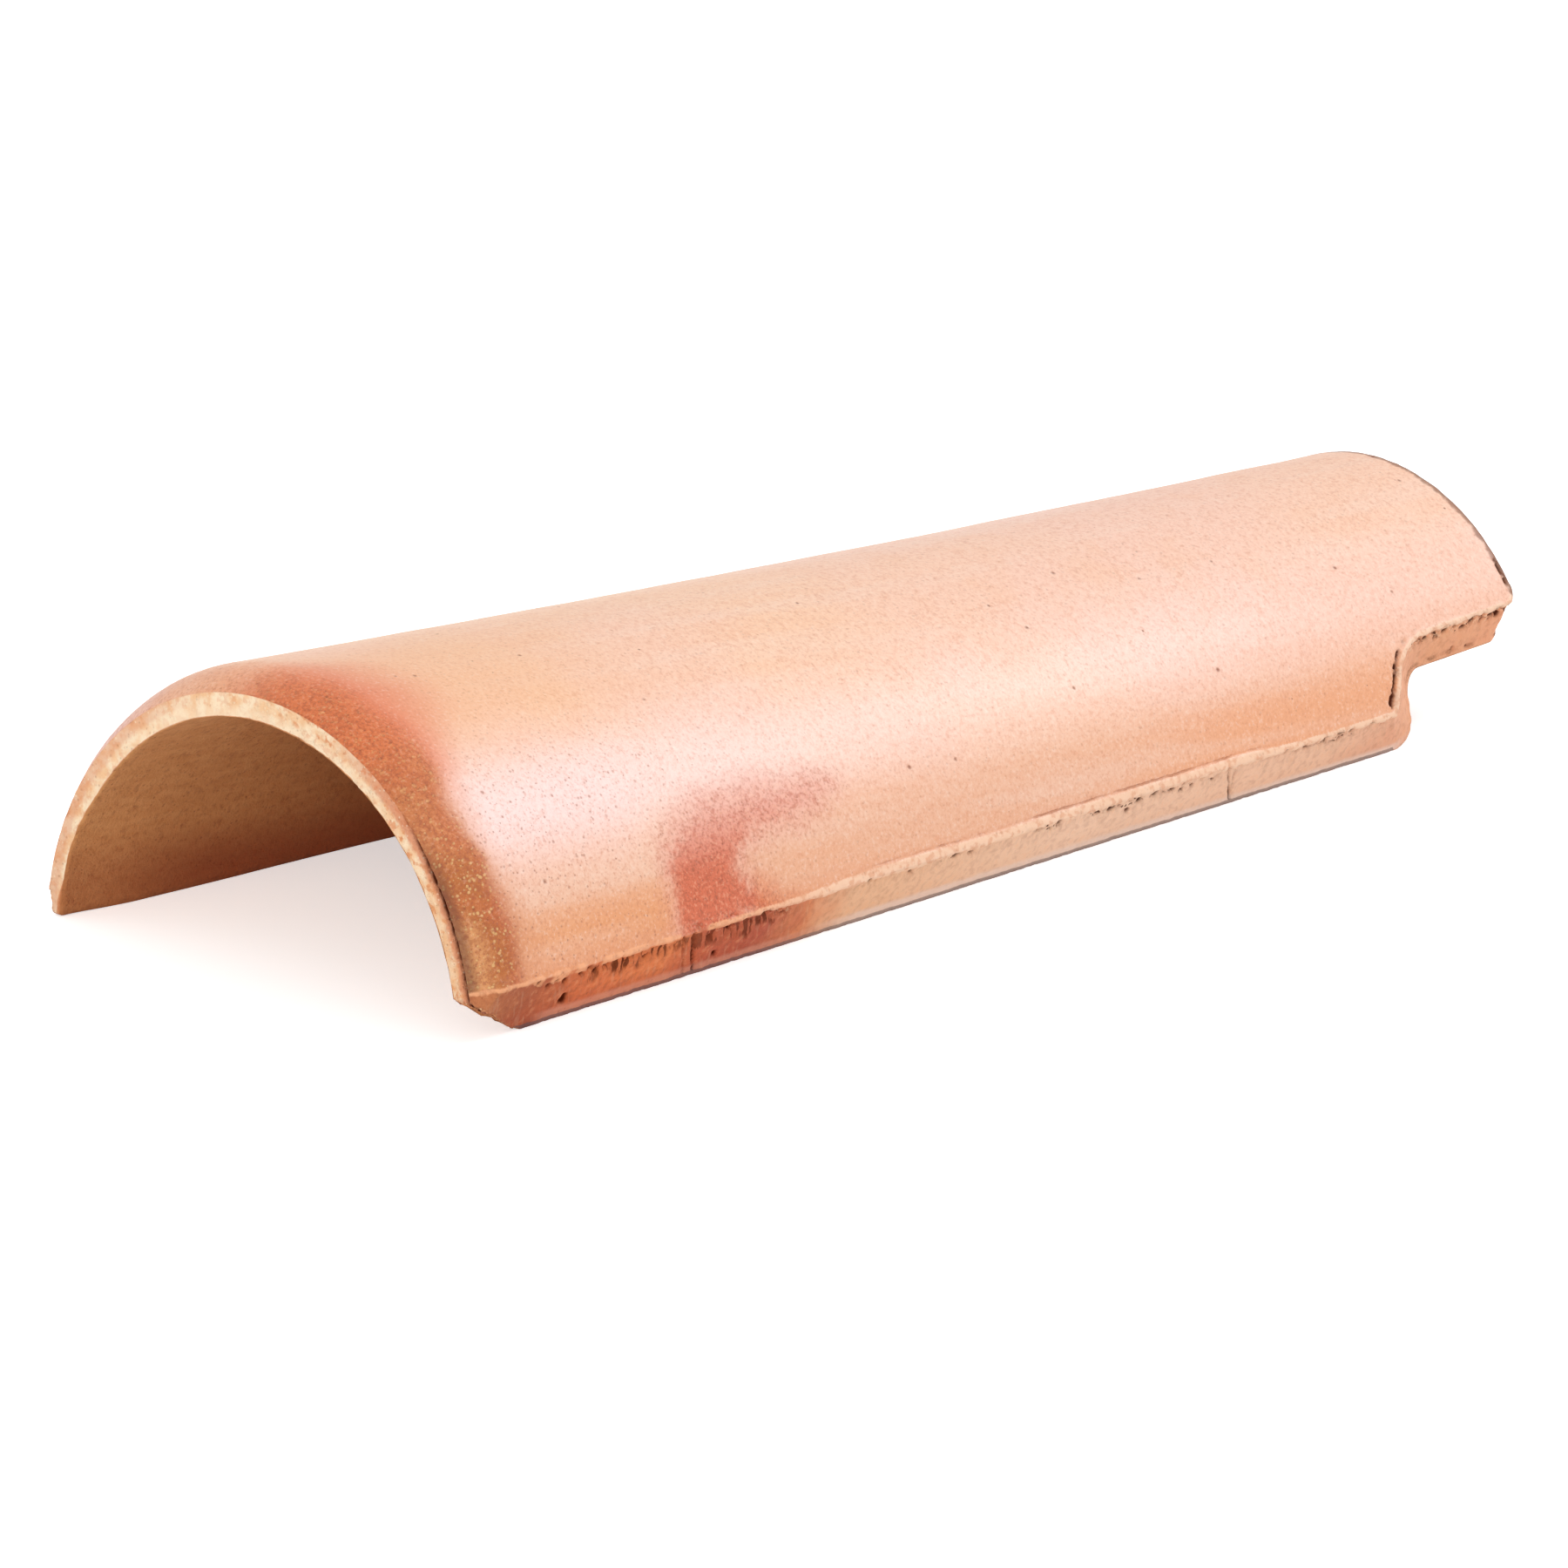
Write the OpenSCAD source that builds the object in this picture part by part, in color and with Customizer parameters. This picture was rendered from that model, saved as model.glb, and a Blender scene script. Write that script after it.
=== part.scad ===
// Barrel roof tile: a tapered half pipe of pressed clay, lying on its two long feet

/* [Tile] */
// Length from the wide end to the narrow end
tile_length = 450; // [400:1:500]
// Outer radius of the vault at the wide end
wide_radius = 90; // [84:0.5:100]
// Outer radius of the vault at the narrow end
narrow_radius = 67; // [62:0.5:75]
// Depth of the vault's axis below the feet
axis_drop = 4.2; // [2:0.1:8]
// Wall thickness at the wide end
wide_wall = 13.4; // [10:0.1:16]
// Wall thickness at the narrow end
narrow_wall = 12; // [9:0.1:14]

/* [Rims and feet] */
// Thickness of the flat end face at the wide end, inside the shoulder
wide_face = 6.8; // [4:0.1:9]
// Length over which the shoulder curves down to that end face
shoulder_length = 17; // [8:0.5:30]
// Width of the flat strip that each foot stands on
foot_width = 2.5; // [1.5:0.1:4]
// Lean of the bevel along each foot, away from upright
foot_bevel = 28; // [20:1:34]

/* [Notches at the narrow end] */
// Length of each notch along the inner face
notch_length = 44; // [35:1:55]
// Height of each notch on the inner face
notch_height = 19; // [15:0.5:24]
// Radius of the inside corner of each notch on the inner face
notch_fillet = 8; // [5:0.5:11]
// Slope of the notch's bevelled faces across the wall
notch_bevel = 45; // [35:1:48]
// Tilt of the notch above level, to follow the leaning wall
notch_tilt = 20; // [12:1:26]
// Rounding of the toe where each foot ends at its notch
toe_round = 14; // [8:0.5:15]
// Rounding of the lower corner of the tab beyond each notch
tab_round = 4.5; // [3:0.5:9]

/* [Broken corner] */
// Length of the broken corner of the right foot at the wide end
chip_length = 22; // [15:0.5:30]
// Height of the broken corner on the end face
chip_height = 12.5; // [8:0.5:15]

/* [Hidden] */
$fn = 128;
half_length = tile_length / 2;
wide_inner = wide_radius - wide_wall;
narrow_inner = narrow_radius - narrow_wall;
// Fall of the outer face toward the axis for each millimetre of length
outer_fall = (wide_radius - narrow_radius) / tile_length;
outer_hyp = sqrt(1 + outer_fall * outer_fall);
// Shoulder arc: it leaves the outer face smoothly and meets the rim of the end face
shoulder_drop = wide_wall - wide_face;
shoulder_edge = shoulder_drop - outer_fall * shoulder_length;
shoulder_span = shoulder_edge * shoulder_edge + shoulder_length * shoulder_length;
shoulder_radius = shoulder_span * outer_hyp / (2 * shoulder_drop);
shoulder_r = wide_radius - outer_fall * shoulder_length - shoulder_radius / outer_hyp;
shoulder_y = shoulder_length - shoulder_radius * outer_fall / outer_hyp;
// Outer edge of the flat foot strip at each end
wide_foot = sqrt(wide_inner * wide_inner - axis_drop * axis_drop) + foot_width;
narrow_foot = sqrt(narrow_inner * narrow_inner - axis_drop * axis_drop) + foot_width;
foot_turn = atan2(wide_foot - narrow_foot, tile_length);
// Inner face at the middle of the notch, at the notch's height
notch_share = (tile_length - notch_length / 2) / tile_length;
notch_inner = wide_inner + (narrow_inner - wide_inner) * notch_share;
notch_rise = notch_height + axis_drop;
notch_x = sqrt(notch_inner * notch_inner - notch_rise * notch_rise);
notch_slope = tan(notch_bevel);
// Distance inside the inner face where the blending cone starts
notch_lead = 0.6 * notch_fillet / notch_slope;
// Distance of the tab's rounding centre from the faces it blends
tab_set = 0.92 * tab_round;
reach = 2 * wide_radius;

// Section of the wall along the tile, drawn as radius across and length upward
module wall_section() {
    polygon([
        [wide_inner, 0],
        [wide_radius, 0],
        [narrow_radius, tile_length],
        [narrow_inner, tile_length]
    ]);
}

// Section of the clay outside the shoulder arc at the wide end
module shoulder_waste() {
    translate([shoulder_r, shoulder_y])
        difference() {
            polygon([
                [0, 0],
                [2 * shoulder_radius / outer_hyp, 2 * shoulder_radius * outer_fall / outer_hyp],
                [2 * shoulder_radius, -2 * shoulder_radius],
                [0, -2 * shoulder_radius]
            ]);
            circle(r = shoulder_radius);
        }
}

// Full tapered pipe with its axis level and just below the floor
module pipe() {
    translate([0, -half_length, -axis_drop])
        rotate([-90, 0, 0])
            rotate_extrude()
                wall_section();
}

// Ring of clay outside the shoulder
module shoulder_ring() {
    translate([0, -half_length, -axis_drop])
        rotate([-90, 0, 0])
            rotate_extrude()
                shoulder_waste();
}

// Space above the floor that keeps the upper half of the pipe
module above_floor() {
    translate([-reach, -tile_length, 0])
        cube([2 * reach, 2 * tile_length, reach]);
}

// Clay outside the bevel of the right foot
module foot_waste() {
    translate([wide_foot, -half_length, 0])
        rotate([0, 0, foot_turn])
            rotate([0, foot_bevel, 0])
                translate([0, -half_length, -reach])
                    cube([reach, 2 * tile_length, 2 * reach]);
}

// Places a shape at the right notch, with X out through the wall and Y toward the narrow end
module at_notch() {
    translate([notch_x, half_length - notch_length, notch_height])
        rotate([0, -notch_tilt, 0])
            children();
}

// Right notch: a sloping roof, a sloping end and a cone that blends the two
module notch_waste() {
    at_notch() {
        rotate([0, -notch_bevel, 0])
            translate([-40, notch_fillet, -60])
                cube([80, 2 * notch_length, 60]);
        rotate([0, 0, -notch_bevel])
            translate([-40, 0, -60 - notch_fillet])
                cube([80, 2 * notch_length, 60]);
        translate([-notch_lead, notch_fillet, -notch_fillet])
            rotate([0, 90, 0])
                cylinder(h = 40, r1 = 0.4 * notch_fillet, r2 = 0.4 * notch_fillet + 40 * notch_slope);
    }
}

// Clay beyond the rounded lower corner of the right tab
module tab_waste() {
    at_notch()
        rotate([0, -notch_bevel, 0])
            translate([-20, notch_length - tab_set, tab_set])
                difference() {
                    translate([0, 0, -tab_round - 5])
                        cube([60, tab_round + 5, tab_round + 5]);
                    translate([-5, 0, 0])
                        rotate([0, 90, 0])
                            cylinder(h = 70, r = tab_round);
                }
}

// Clay beyond the rounded toes of both feet
module toe_waste() {
    translate([-reach, half_length - notch_length - toe_round, toe_round])
        difference() {
            translate([0, 0, -toe_round - 5])
                cube([2 * reach, toe_round + 15, toe_round + 5]);
            translate([-5, 0, 0])
                rotate([0, 90, 0])
                    cylinder(h = 2 * reach + 10, r = toe_round);
        }
}

// Clay broken off the right foot at the wide end
module chip_waste() {
    translate([wide_inner / 2, chip_length - half_length, 0])
        rotate([-atan2(chip_height, chip_length), 0, 0])
            translate([0, -100, -60])
                cube([reach, 100, 60]);
}

module tile() {
    color([0.88, 0.64, 0.48])
        difference() {
            intersection() {
                pipe();
                above_floor();
            }
            for (side = [0, 1]) {
                mirror([side, 0, 0]) {
                    foot_waste();
                    notch_waste();
                    tab_waste();
                }
            }
            toe_waste();
            chip_waste();
            shoulder_ring();
        }
}

tile();
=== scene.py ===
# %% [markdown]
# A fired clay roof tile of the barrel kind: a slab of clay is rolled out, cut to a blank and
# laid over a tapered former, and its feet, corners and ends are trimmed while it is soft.
# The script goes the same way. It draws a flat blank, bends it with Geometry Nodes, roughens
# it as clay is rough, and then fires it, which here means a procedural material.

# %% Load the part
import bpy
import bmesh
import math
import numpy as np
from mathutils import Matrix, Vector
from mathutils.geometry import delaunay_2d_cdt
from mathutils.kdtree import KDTree


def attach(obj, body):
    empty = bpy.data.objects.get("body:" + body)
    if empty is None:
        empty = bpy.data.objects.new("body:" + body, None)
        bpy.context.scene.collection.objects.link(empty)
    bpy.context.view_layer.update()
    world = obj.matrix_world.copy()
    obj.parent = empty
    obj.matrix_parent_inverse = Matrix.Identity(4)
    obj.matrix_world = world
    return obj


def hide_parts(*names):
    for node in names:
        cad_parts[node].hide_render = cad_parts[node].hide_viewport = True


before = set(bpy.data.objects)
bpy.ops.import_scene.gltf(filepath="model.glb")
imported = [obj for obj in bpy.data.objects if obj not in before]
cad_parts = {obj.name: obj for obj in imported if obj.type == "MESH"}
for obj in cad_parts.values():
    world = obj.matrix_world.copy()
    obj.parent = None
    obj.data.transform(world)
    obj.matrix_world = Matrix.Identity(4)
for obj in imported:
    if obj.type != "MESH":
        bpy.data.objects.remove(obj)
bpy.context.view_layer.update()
scene = bpy.context.scene


def put(name, data):
    """Makes an object from its data and links it into the scene."""
    made = bpy.data.objects.new(name, data)
    scene.collection.objects.link(made)
    return made


# %% [markdown]
# The camera stands where the photographer stood: a little above the tile, off its right-hand
# corner, far away with a long lens, so the taper of the tile isn't mixed up with perspective.
# The numbers come from fitting the tile's corners, so a turn and a shift of the film are enough.

# %% Camera
AZIMUTH, ELEVATION, ROLL = (math.radians(a) for a in (43.724, 16.882, 1.358))
TARGET = Vector((-0.045417, 0.023111, -0.00093))
DISTANCE = 5.111752
LENS, FILM = 413.015, 36
FILM_SHIFT = (0.007649, -0.007364)
back = Vector((math.sin(AZIMUTH) * math.cos(ELEVATION),
               -math.cos(AZIMUTH) * math.cos(ELEVATION),
               math.sin(ELEVATION)))
level_right = (-back).cross(Vector((0, 0, 1))).normalized()
level_up = level_right.cross(-back)
rolled_right = level_right * math.cos(ROLL) + level_up * math.sin(ROLL)
rolled_up = level_up * math.cos(ROLL) - level_right * math.sin(ROLL)
camera_data = bpy.data.cameras.new("photo_camera")
camera_data.lens = LENS
camera_data.sensor_width = FILM
camera_data.shift_x, camera_data.shift_y = FILM_SHIFT
camera_data.clip_end = 50
camera = put("photo_camera", camera_data)
stand = Matrix((rolled_right, rolled_up, back)).transposed().to_4x4()
stand.translation = TARGET + back * DISTANCE
camera.matrix_world = stand
scene.camera = camera
print("camera", round(DISTANCE, 2), "m away, lens", LENS, "mm")

# %% [markdown]
# Node trees are easier to read as sums than as lists of links. This small class wraps one
# socket, so that ordinary arithmetic adds Math nodes, and its node method adds any other kind.
# The same class serves the bending tree and the clay material.

# %% A socket that does arithmetic
def clay(red, green, blue):
    """A colour as read from a screen, turned into the linear colour that shaders use."""
    screen = np.array([red, green, blue]) / 255
    linear = np.where(screen <= 0.04045, screen / 12.92, ((screen + 0.055) / 1.055) ** 2.4)
    return (*(float(c) for c in linear), 1.0)


def operator(operation, reflected=False):
    """A method that adds a Math node; its reflected form has the plain number first."""
    if reflected:
        return lambda self, other: self.math(operation, other, self)
    return lambda self, other: self.math(operation, self, other)


class Wire:
    """One socket in a node tree. Arithmetic on it adds Math nodes."""

    __add__, __radd__ = operator("ADD"), operator("ADD", reflected=True)
    __sub__, __rsub__ = operator("SUBTRACT"), operator("SUBTRACT", reflected=True)
    __mul__, __rmul__ = operator("MULTIPLY"), operator("MULTIPLY", reflected=True)
    __truediv__, __rtruediv__ = operator("DIVIDE"), operator("DIVIDE", reflected=True)
    __pow__, least, most = operator("POWER"), operator("MINIMUM"), operator("MAXIMUM")

    def __init__(self, tree, socket=None):
        self.tree = tree
        self.socket = socket

    def node(self, kind, settings, sockets, out=0):
        made = self.tree.nodes.new(kind)
        for name, value in settings.items():
            if name == "stops":
                ramp = made.color_ramp.elements
                while len(ramp) < len(value):
                    ramp.new(1.0)
                for stop, (place, colour) in zip(ramp, value):
                    stop.position = place
                    stop.color = colour
            else:
                setattr(made, name, value)
        for key, value in sockets.items():
            if isinstance(value, Wire):
                self.tree.links.new(value.socket, made.inputs[key])
            else:
                made.inputs[key].default_value = value
        return Wire(self.tree, made.outputs[out] if made.outputs else None)

    def out(self, name):
        return Wire(self.tree, self.socket.node.outputs[name])

    def math(self, operation, *values):
        return self.node("ShaderNodeMath", {"operation": operation}, dict(enumerate(values)))

    def __neg__(self):
        return self.math("MULTIPLY", self, -1.0)

    def __abs__(self):
        return self.math("ABSOLUTE", self)

    def ease(self, low, high, start=0.0, end=1.0):
        """Goes softly from start at low to end at high."""
        return self.node("ShaderNodeMapRange", {"interpolation_type": "SMOOTHSTEP"},
                         {0: self, 1: low, 2: high, 3: start, 4: end})

    def span(self, rise, level, fall, end):
        """1 between level and fall, going softly to 0 at rise and at end."""
        return self.ease(rise, level) * (1 - self.ease(fall, end))

    def grain(self, size, detail=2.0, rough=0.5, seed=None):
        """Cloudy noise between 0 and 1 on this vector, with clouds about size metres across."""
        sockets = {"Vector": self, "Scale": 1.0 / size, "Detail": detail, "Roughness": rough}
        if seed is not None:
            sockets["W"] = seed
        kind = {"noise_dimensions": "3D" if seed is None else "4D"}
        return self.node("ShaderNodeTexNoise", kind, sockets, "Fac")

    def cells(self, size, out="Distance"):
        """Scattered cells on this vector, about size metres across."""
        return self.node("ShaderNodeTexVoronoi", {}, {"Vector": self, "Scale": 1.0 / size}, out)

    def parts(self):
        return self.node("ShaderNodeSeparateXYZ", {}, {0: self})

    def vector(self, operation, other):
        return self.node("ShaderNodeVectorMath", {"operation": operation}, {0: self, 1: other})

    def stretch(self, x, y, z):
        return self.vector("MULTIPLY", (x, y, z))

    def lean(self, slope):
        """This vector sheared along the tile, as a wire drags through clay."""
        drift = self.node("ShaderNodeCombineXYZ", {}, {1: self.parts().out("Z") * slope})
        return self.vector("ADD", drift)

    def blend(self, under, over):
        """Mixes two colours by this value. Plain colours are given as read from a screen."""
        under, over = (c if isinstance(c, Wire) else clay(*c) for c in (under, over))
        return self.node("ShaderNodeMix", {"data_type": "RGBA"}, {0: self, 6: under, 7: over}, 2)

    def coat(self, *layers):
        """Lays colours over this one, each given as a mask and a colour."""
        under = self
        for mask, tone in layers:
            under = mask.blend(under, tone)
        return under


def bare_tree(material):
    """Empties the node tree of a material, ready to be built."""
    material.use_nodes = True
    material.node_tree.nodes.clear()
    return Wire(material.node_tree)


print("socket arithmetic ready")

# %% [markdown]
# The slab is a tapered half pipe. Its outer face narrows from 90 mm to 67 mm radius and its
# wall thins from 13.4 mm to 12 mm, and the axis lies 4.2 mm below the floor. At the wide end the
# outer face curves down in a shoulder to a thinner rim. These few rules give any point on the
# skin, so the blank needs no measured mesh.

# %% Sizes of the slab in millimetres
LENGTH = 450.0
WIDE_RADIUS, NARROW_RADIUS = 90.0, 67.0
WIDE_WALL, NARROW_WALL = 13.4, 12.0
AXIS_DROP = 4.2
RIM = 6.8
SHOULDER = 17.0
FOOT_WIDTH = 2.5
FOOT_LEAN = math.tan(math.radians(28))
FALL = (WIDE_RADIUS - NARROW_RADIUS) / LENGTH
STEEP = math.hypot(1, FALL)
SHOULDER_DROP = WIDE_WALL - RIM
SHOULDER_RADIUS = (((SHOULDER_DROP - FALL * SHOULDER) ** 2 + SHOULDER ** 2) * STEEP
                   / (2 * SHOULDER_DROP))
SHOULDER_R = WIDE_RADIUS - FALL * SHOULDER - SHOULDER_RADIUS / STEEP
SHOULDER_V = SHOULDER - SHOULDER_RADIUS * FALL / STEEP


def cone_radius(v):
    return WIDE_RADIUS - FALL * v


def inner_radius(v):
    return cone_radius(v) - WIDE_WALL - (NARROW_WALL - WIDE_WALL) * v / LENGTH


def skin_radius(v):
    """Radius of the outer face, shoulder included, at a distance v from the wide end."""
    arc = SHOULDER_R + np.sqrt(np.maximum(SHOULDER_RADIUS ** 2 - (v - SHOULDER_V) ** 2, 0))
    return np.where(v < SHOULDER, np.minimum(arc, cone_radius(v)), cone_radius(v))


def soft_step(values, low, high):
    t = np.clip((values - low) / (high - low), 0, 1)
    return t * t * (3 - 2 * t)


def lip_share(v):
    """How far the right foot's edge stands proud of the shoulder behind it."""
    return soft_step(v, 3.0, 7.5)


def foot_x(v):
    """Outer edge of the narrow strip that a foot stands on."""
    wide, narrow = (math.sqrt(inner_radius(e) ** 2 - AXIS_DROP ** 2) + FOOT_WIDTH
                    for e in (0.0, LENGTH))
    return wide + (narrow - wide) * v / LENGTH


def lip_radius(v, lip):
    return skin_radius(v) + (cone_radius(v) - skin_radius(v)) * lip_share(v) * lip


def parting_z(v, lip):
    """Height at which the foot's trimmed bevel meets the outer face, with or without the lip."""
    x, r = foot_x(v), lip_radius(v, lip)
    half = x * FOOT_LEAN + AXIS_DROP
    square = 1 + FOOT_LEAN ** 2
    return (np.sqrt(half ** 2 - square * (x ** 2 + AXIS_DROP ** 2 - r ** 2)) - half) / square


print("shoulder radius", round(SHOULDER_RADIUS, 2), "mm, parting line",
      [round(float(parting_z(np.array(v), 1)), 2) for v in (0.0, 20.0, 380.0)], "mm high")

# %% [markdown]
# The outline runs once round the tile: along the wide end, up one foot, round the notch and the
# tab, along the narrow end, and back down the other side. Each station has a point on the outer
# face, one on the inner face, and one at the corner between the trimmed bevel and the strip that
# the tile stands on. Lines, arcs and one soft bend are enough, as a knife and a former make few
# others.

# %% Outline of one side
def turn(centre, radius, first, last, count):
    """Points on an arc in the plane of length and height, without its first point."""
    a = np.radians(np.linspace(first, last, count + 1)[1:])
    return np.stack([centre[0] + radius * np.cos(a), centre[1] + radius * np.sin(a)], 1)


def line(first, last, count):
    t = np.linspace(0, 1, count + 1)[1:, None]
    return np.array(first) * (1 - t) + np.array(last) * t


def sweep(first, bend, last, count):
    t = np.linspace(0, 1, count + 1)[1:, None]
    return (np.array(first) * (1 - t) ** 2 + 2 * np.array(bend) * t * (1 - t)
            + np.array(last) * t ** 2)


def on_face(points, radius):
    """Places points given by length and height on a face of the vault."""
    v, z = points[:, 0], points[:, 1]
    return np.stack([np.sqrt(radius(v) ** 2 - (z + AXIS_DROP) ** 2), v, z], 1)


def on_end(angles, v, radius):
    return np.stack([radius * np.sin(angles), np.full_like(angles, v),
                     radius * np.cos(angles) - AXIS_DROP], 1)


NEAR, FOOT, NOTCH, FAR = 0, 1, 2, 3
TOE, UPRIGHT, ROOF_IN, ROOF_OUT = 394.5, 406.0, 19.0, 32.0
FOOT_END, BEND, ROOF_START = 386.5, (391.6, 23.0), (407.0, ROOF_OUT)
TOE_ROUND, NOTCH_ROUND = 11.5, 7.5
TAB_OUT, TAB_IN, TAB_RISE = 446.0, 445.5, 0.3
TAB_ROUND_OUT, TAB_ROUND_IN = 4.0, 4.5
TAB_TOP_OUT, TAB_TOP_IN = ROOF_OUT + TAB_RISE + TAB_ROUND_OUT, ROOF_IN + TAB_RISE + TAB_ROUND_IN
RIM_RADIUS = WIDE_RADIUS - SHOULDER_DROP
NEAR_OUT = math.acos((float(parting_z(np.array(0.0), 0)) + AXIS_DROP) / RIM_RADIUS)
NEAR_IN = math.acos(AXIS_DROP / inner_radius(0.0))
FAR_OUT = math.acos((TAB_TOP_OUT + AXIS_DROP) / NARROW_RADIUS)
FAR_IN = math.acos((TAB_TOP_IN + AXIS_DROP) / inner_radius(LENGTH))


def one_side(lip):
    """Kind, outer point and inner point of every station of a side, from crown to crown."""
    foot_v = line((0.0,), (FOOT_END,), 600)[:, 0]
    foot_edge = np.stack([foot_v, parting_z(foot_v, lip)], 1)
    toe_top = (FOOT_END, float(parting_z(np.array(FOOT_END), lip)))
    hinge = UPRIGHT + NOTCH_ROUND
    paths = [
        (FOOT, foot_edge, line((0.0, 0.0), (TOE, 0.0), 600)),
        (NOTCH, line(toe_top, BEND, 28), turn((TOE, TOE_ROUND), TOE_ROUND, -90, 0, 28)),
        (NOTCH, sweep(BEND, (394.6, 30.4), ROOF_START, 26),
         turn((hinge, ROOF_IN - NOTCH_ROUND), NOTCH_ROUND, 180, 90, 26)),
        (NOTCH, line(ROOF_START, (TAB_OUT, ROOF_OUT + TAB_RISE), 60),
         line((hinge, ROOF_IN), (TAB_IN, ROOF_IN + TAB_RISE), 60)),
        (NOTCH, turn((TAB_OUT, TAB_TOP_OUT), TAB_ROUND_OUT, -90, 0, 10),
         turn((TAB_IN, TAB_TOP_IN), TAB_ROUND_IN, -90, 0, 10))]
    sections = [
        (NEAR, on_end(np.linspace(0, NEAR_OUT, 131), 0.0, RIM_RADIUS),
         on_end(np.linspace(0, NEAR_IN, 131), 0.0, inner_radius(0.0))),
        *((k, on_face(o, lambda v: lip_radius(v, lip)), on_face(i, inner_radius))
          for k, o, i in paths),
        (FAR, on_end(np.linspace(FAR_OUT, 0, 96)[1:], LENGTH, NARROW_RADIUS),
         on_end(np.linspace(FAR_IN, 0, 96)[1:], LENGTH, inner_radius(LENGTH)))]
    return (np.concatenate([np.full(len(o), k) for k, o, _ in sections]),
            np.concatenate([o for _, o, _ in sections]),
            np.concatenate([i for _, _, i in sections]))


kind, right_outer, inner_line = one_side(1)
_, left_outer, _ = one_side(0)
print(len(kind), "stations along one side")

# %% [markdown]
# The corner between bevel and standing strip follows the foot, and elsewhere it is only a tight
# round at the inner edge. The two are blended over a few stations at each end of the foot, so the
# strip of faces never jumps. The left side is the mirror image, without the two crown points.

# %% Whole outline
band_line = np.stack([foot_x(inner_line[:, 1]) + np.maximum(inner_line[:, 2], 0) * FOOT_LEAN,
                      inner_line[:, 1], inner_line[:, 2]], 1)
station = np.arange(len(kind))
foot_first, foot_last = station[kind == FOOT][0], station[kind == FOOT][-1]
FADE_IN, FADE_OUT = 12, 28
on_band = np.minimum((station - foot_first + FADE_IN) / FADE_IN,
                     (foot_last + FADE_OUT - station) / FADE_OUT)
on_band = soft_step(np.clip(on_band, 0, 1), 0, 1)[:, None]


def corner_line(outer):
    return (outer + (inner_line - outer) * 0.9) * (1 - on_band) + band_line * on_band


def round_trip(rows, left_rows):
    """Right side as it is, then the left side as its mirror image in reverse order."""
    return np.concatenate([rows, left_rows[-2:0:-1] * [-1, 1, 1]])


outer_loop = round_trip(right_outer, left_outer)
corner_loop = round_trip(corner_line(right_outer), corner_line(left_outer))
inner_loop = round_trip(inner_line, inner_line)
kind_loop = np.concatenate([kind, kind[-2:0:-1]])
side_loop = np.where(np.arange(len(kind_loop)) < len(kind), 1.0, -1.0)
print(len(kind_loop), "stations round the whole tile")

# %% [markdown]
# Unrolling is exact: a point keeps its place along the tile, its angle becomes a distance across
# the blank, and its depth below the outer cone becomes a depth in the slab. The same sum, done
# backwards by the nodes, bends the slab again. Near the wide end the left foot is worn thinner on
# its hollow side, so a little depth is taken off there, faded out in all directions.

# %% Unroll
def unroll(points):
    x, v, z = points[:, 0], points[:, 1], points[:, 2] + AXIS_DROP
    return np.stack([np.arctan2(x, z) * cone_radius(v), v, np.hypot(x, z) - cone_radius(v)], 1)


def scoop(flat):
    """Depth worn off the hollow side of the left foot, close to the wide end."""
    lean = -flat[:, 0] / cone_radius(flat[:, 1])
    return 2.0 * soft_step(lean, 0.9, 1.3) * (1 - soft_step(flat[:, 1], 0, 28))


outer_cut, inner_cut = unroll(outer_loop), unroll(inner_loop)
inner_cut[:, 2] += scoop(inner_cut)
print("blank is", round(float(np.ptp(outer_cut[:, 0])), 1), "mm wide and", LENGTH, "mm long")

# %% [markdown]
# The two faces of the slab are filled with points on a honeycomb, fine near the trimmed edges and
# the shoulder, where the clay is ragged, and coarse in the middle, and a Delaunay triangulation
# joins them. An even grid would need far more faces for the same edge.

# %% Faces of the slab
HALF_BLANK = 146


def honeycomb(pitch):
    across = np.arange(-HALF_BLANK, HALF_BLANK, pitch)
    along = np.arange(0, LENGTH, pitch * math.sqrt(0.75))
    x, v = np.meshgrid(across, along)
    x = x + (np.arange(len(along)) % 2)[:, None] * pitch / 2
    return np.stack([x.ravel(), v.ravel()], 1)


def clearance(points, loop):
    """Distance to the nearest station of an outline, and which station that is."""
    tree = KDTree(len(loop))
    for i, (x, v) in enumerate(loop.tolist()):
        tree.insert((x, v, 0.0), i)
    tree.balance()
    found = [tree.find((x, v, 0.0)) for x, v in points.tolist()]
    return np.array([f[2] for f in found]), np.array([f[1] for f in found])


def inside(points, loop):
    x, v = points[:, :1], points[:, 1:]
    a, b = loop, np.roll(loop, -1, 0)
    crosses = (a[:, 1] > v) != (b[:, 1] > v)
    rise = np.where(b[:, 1] == a[:, 1], 1, b[:, 1] - a[:, 1])
    at = a[:, 0] + (v - a[:, 1]) * (b[:, 0] - a[:, 0]) / rise
    return (crosses & (x < at)).sum(1) % 2 == 1


def fill(loop, rings, zone_pitch=None):
    """Honeycomb points inside a loop, each pitch used between two distances from the edge."""
    kept = []
    for pitch, low, high in rings:
        p = honeycomb(pitch)
        gap, _ = clearance(p, loop)
        fits = (gap > low) & (gap <= high) & (p[:, 1] > 0)
        if zone_pitch is not None and low > 6:
            shoulder = p[:, 1] < SHOULDER + 5
            fits &= shoulder if pitch == zone_pitch else ~shoulder
        p = p[fits]
        kept.append(p[inside(p, loop)])
    return np.concatenate(kept)


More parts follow.
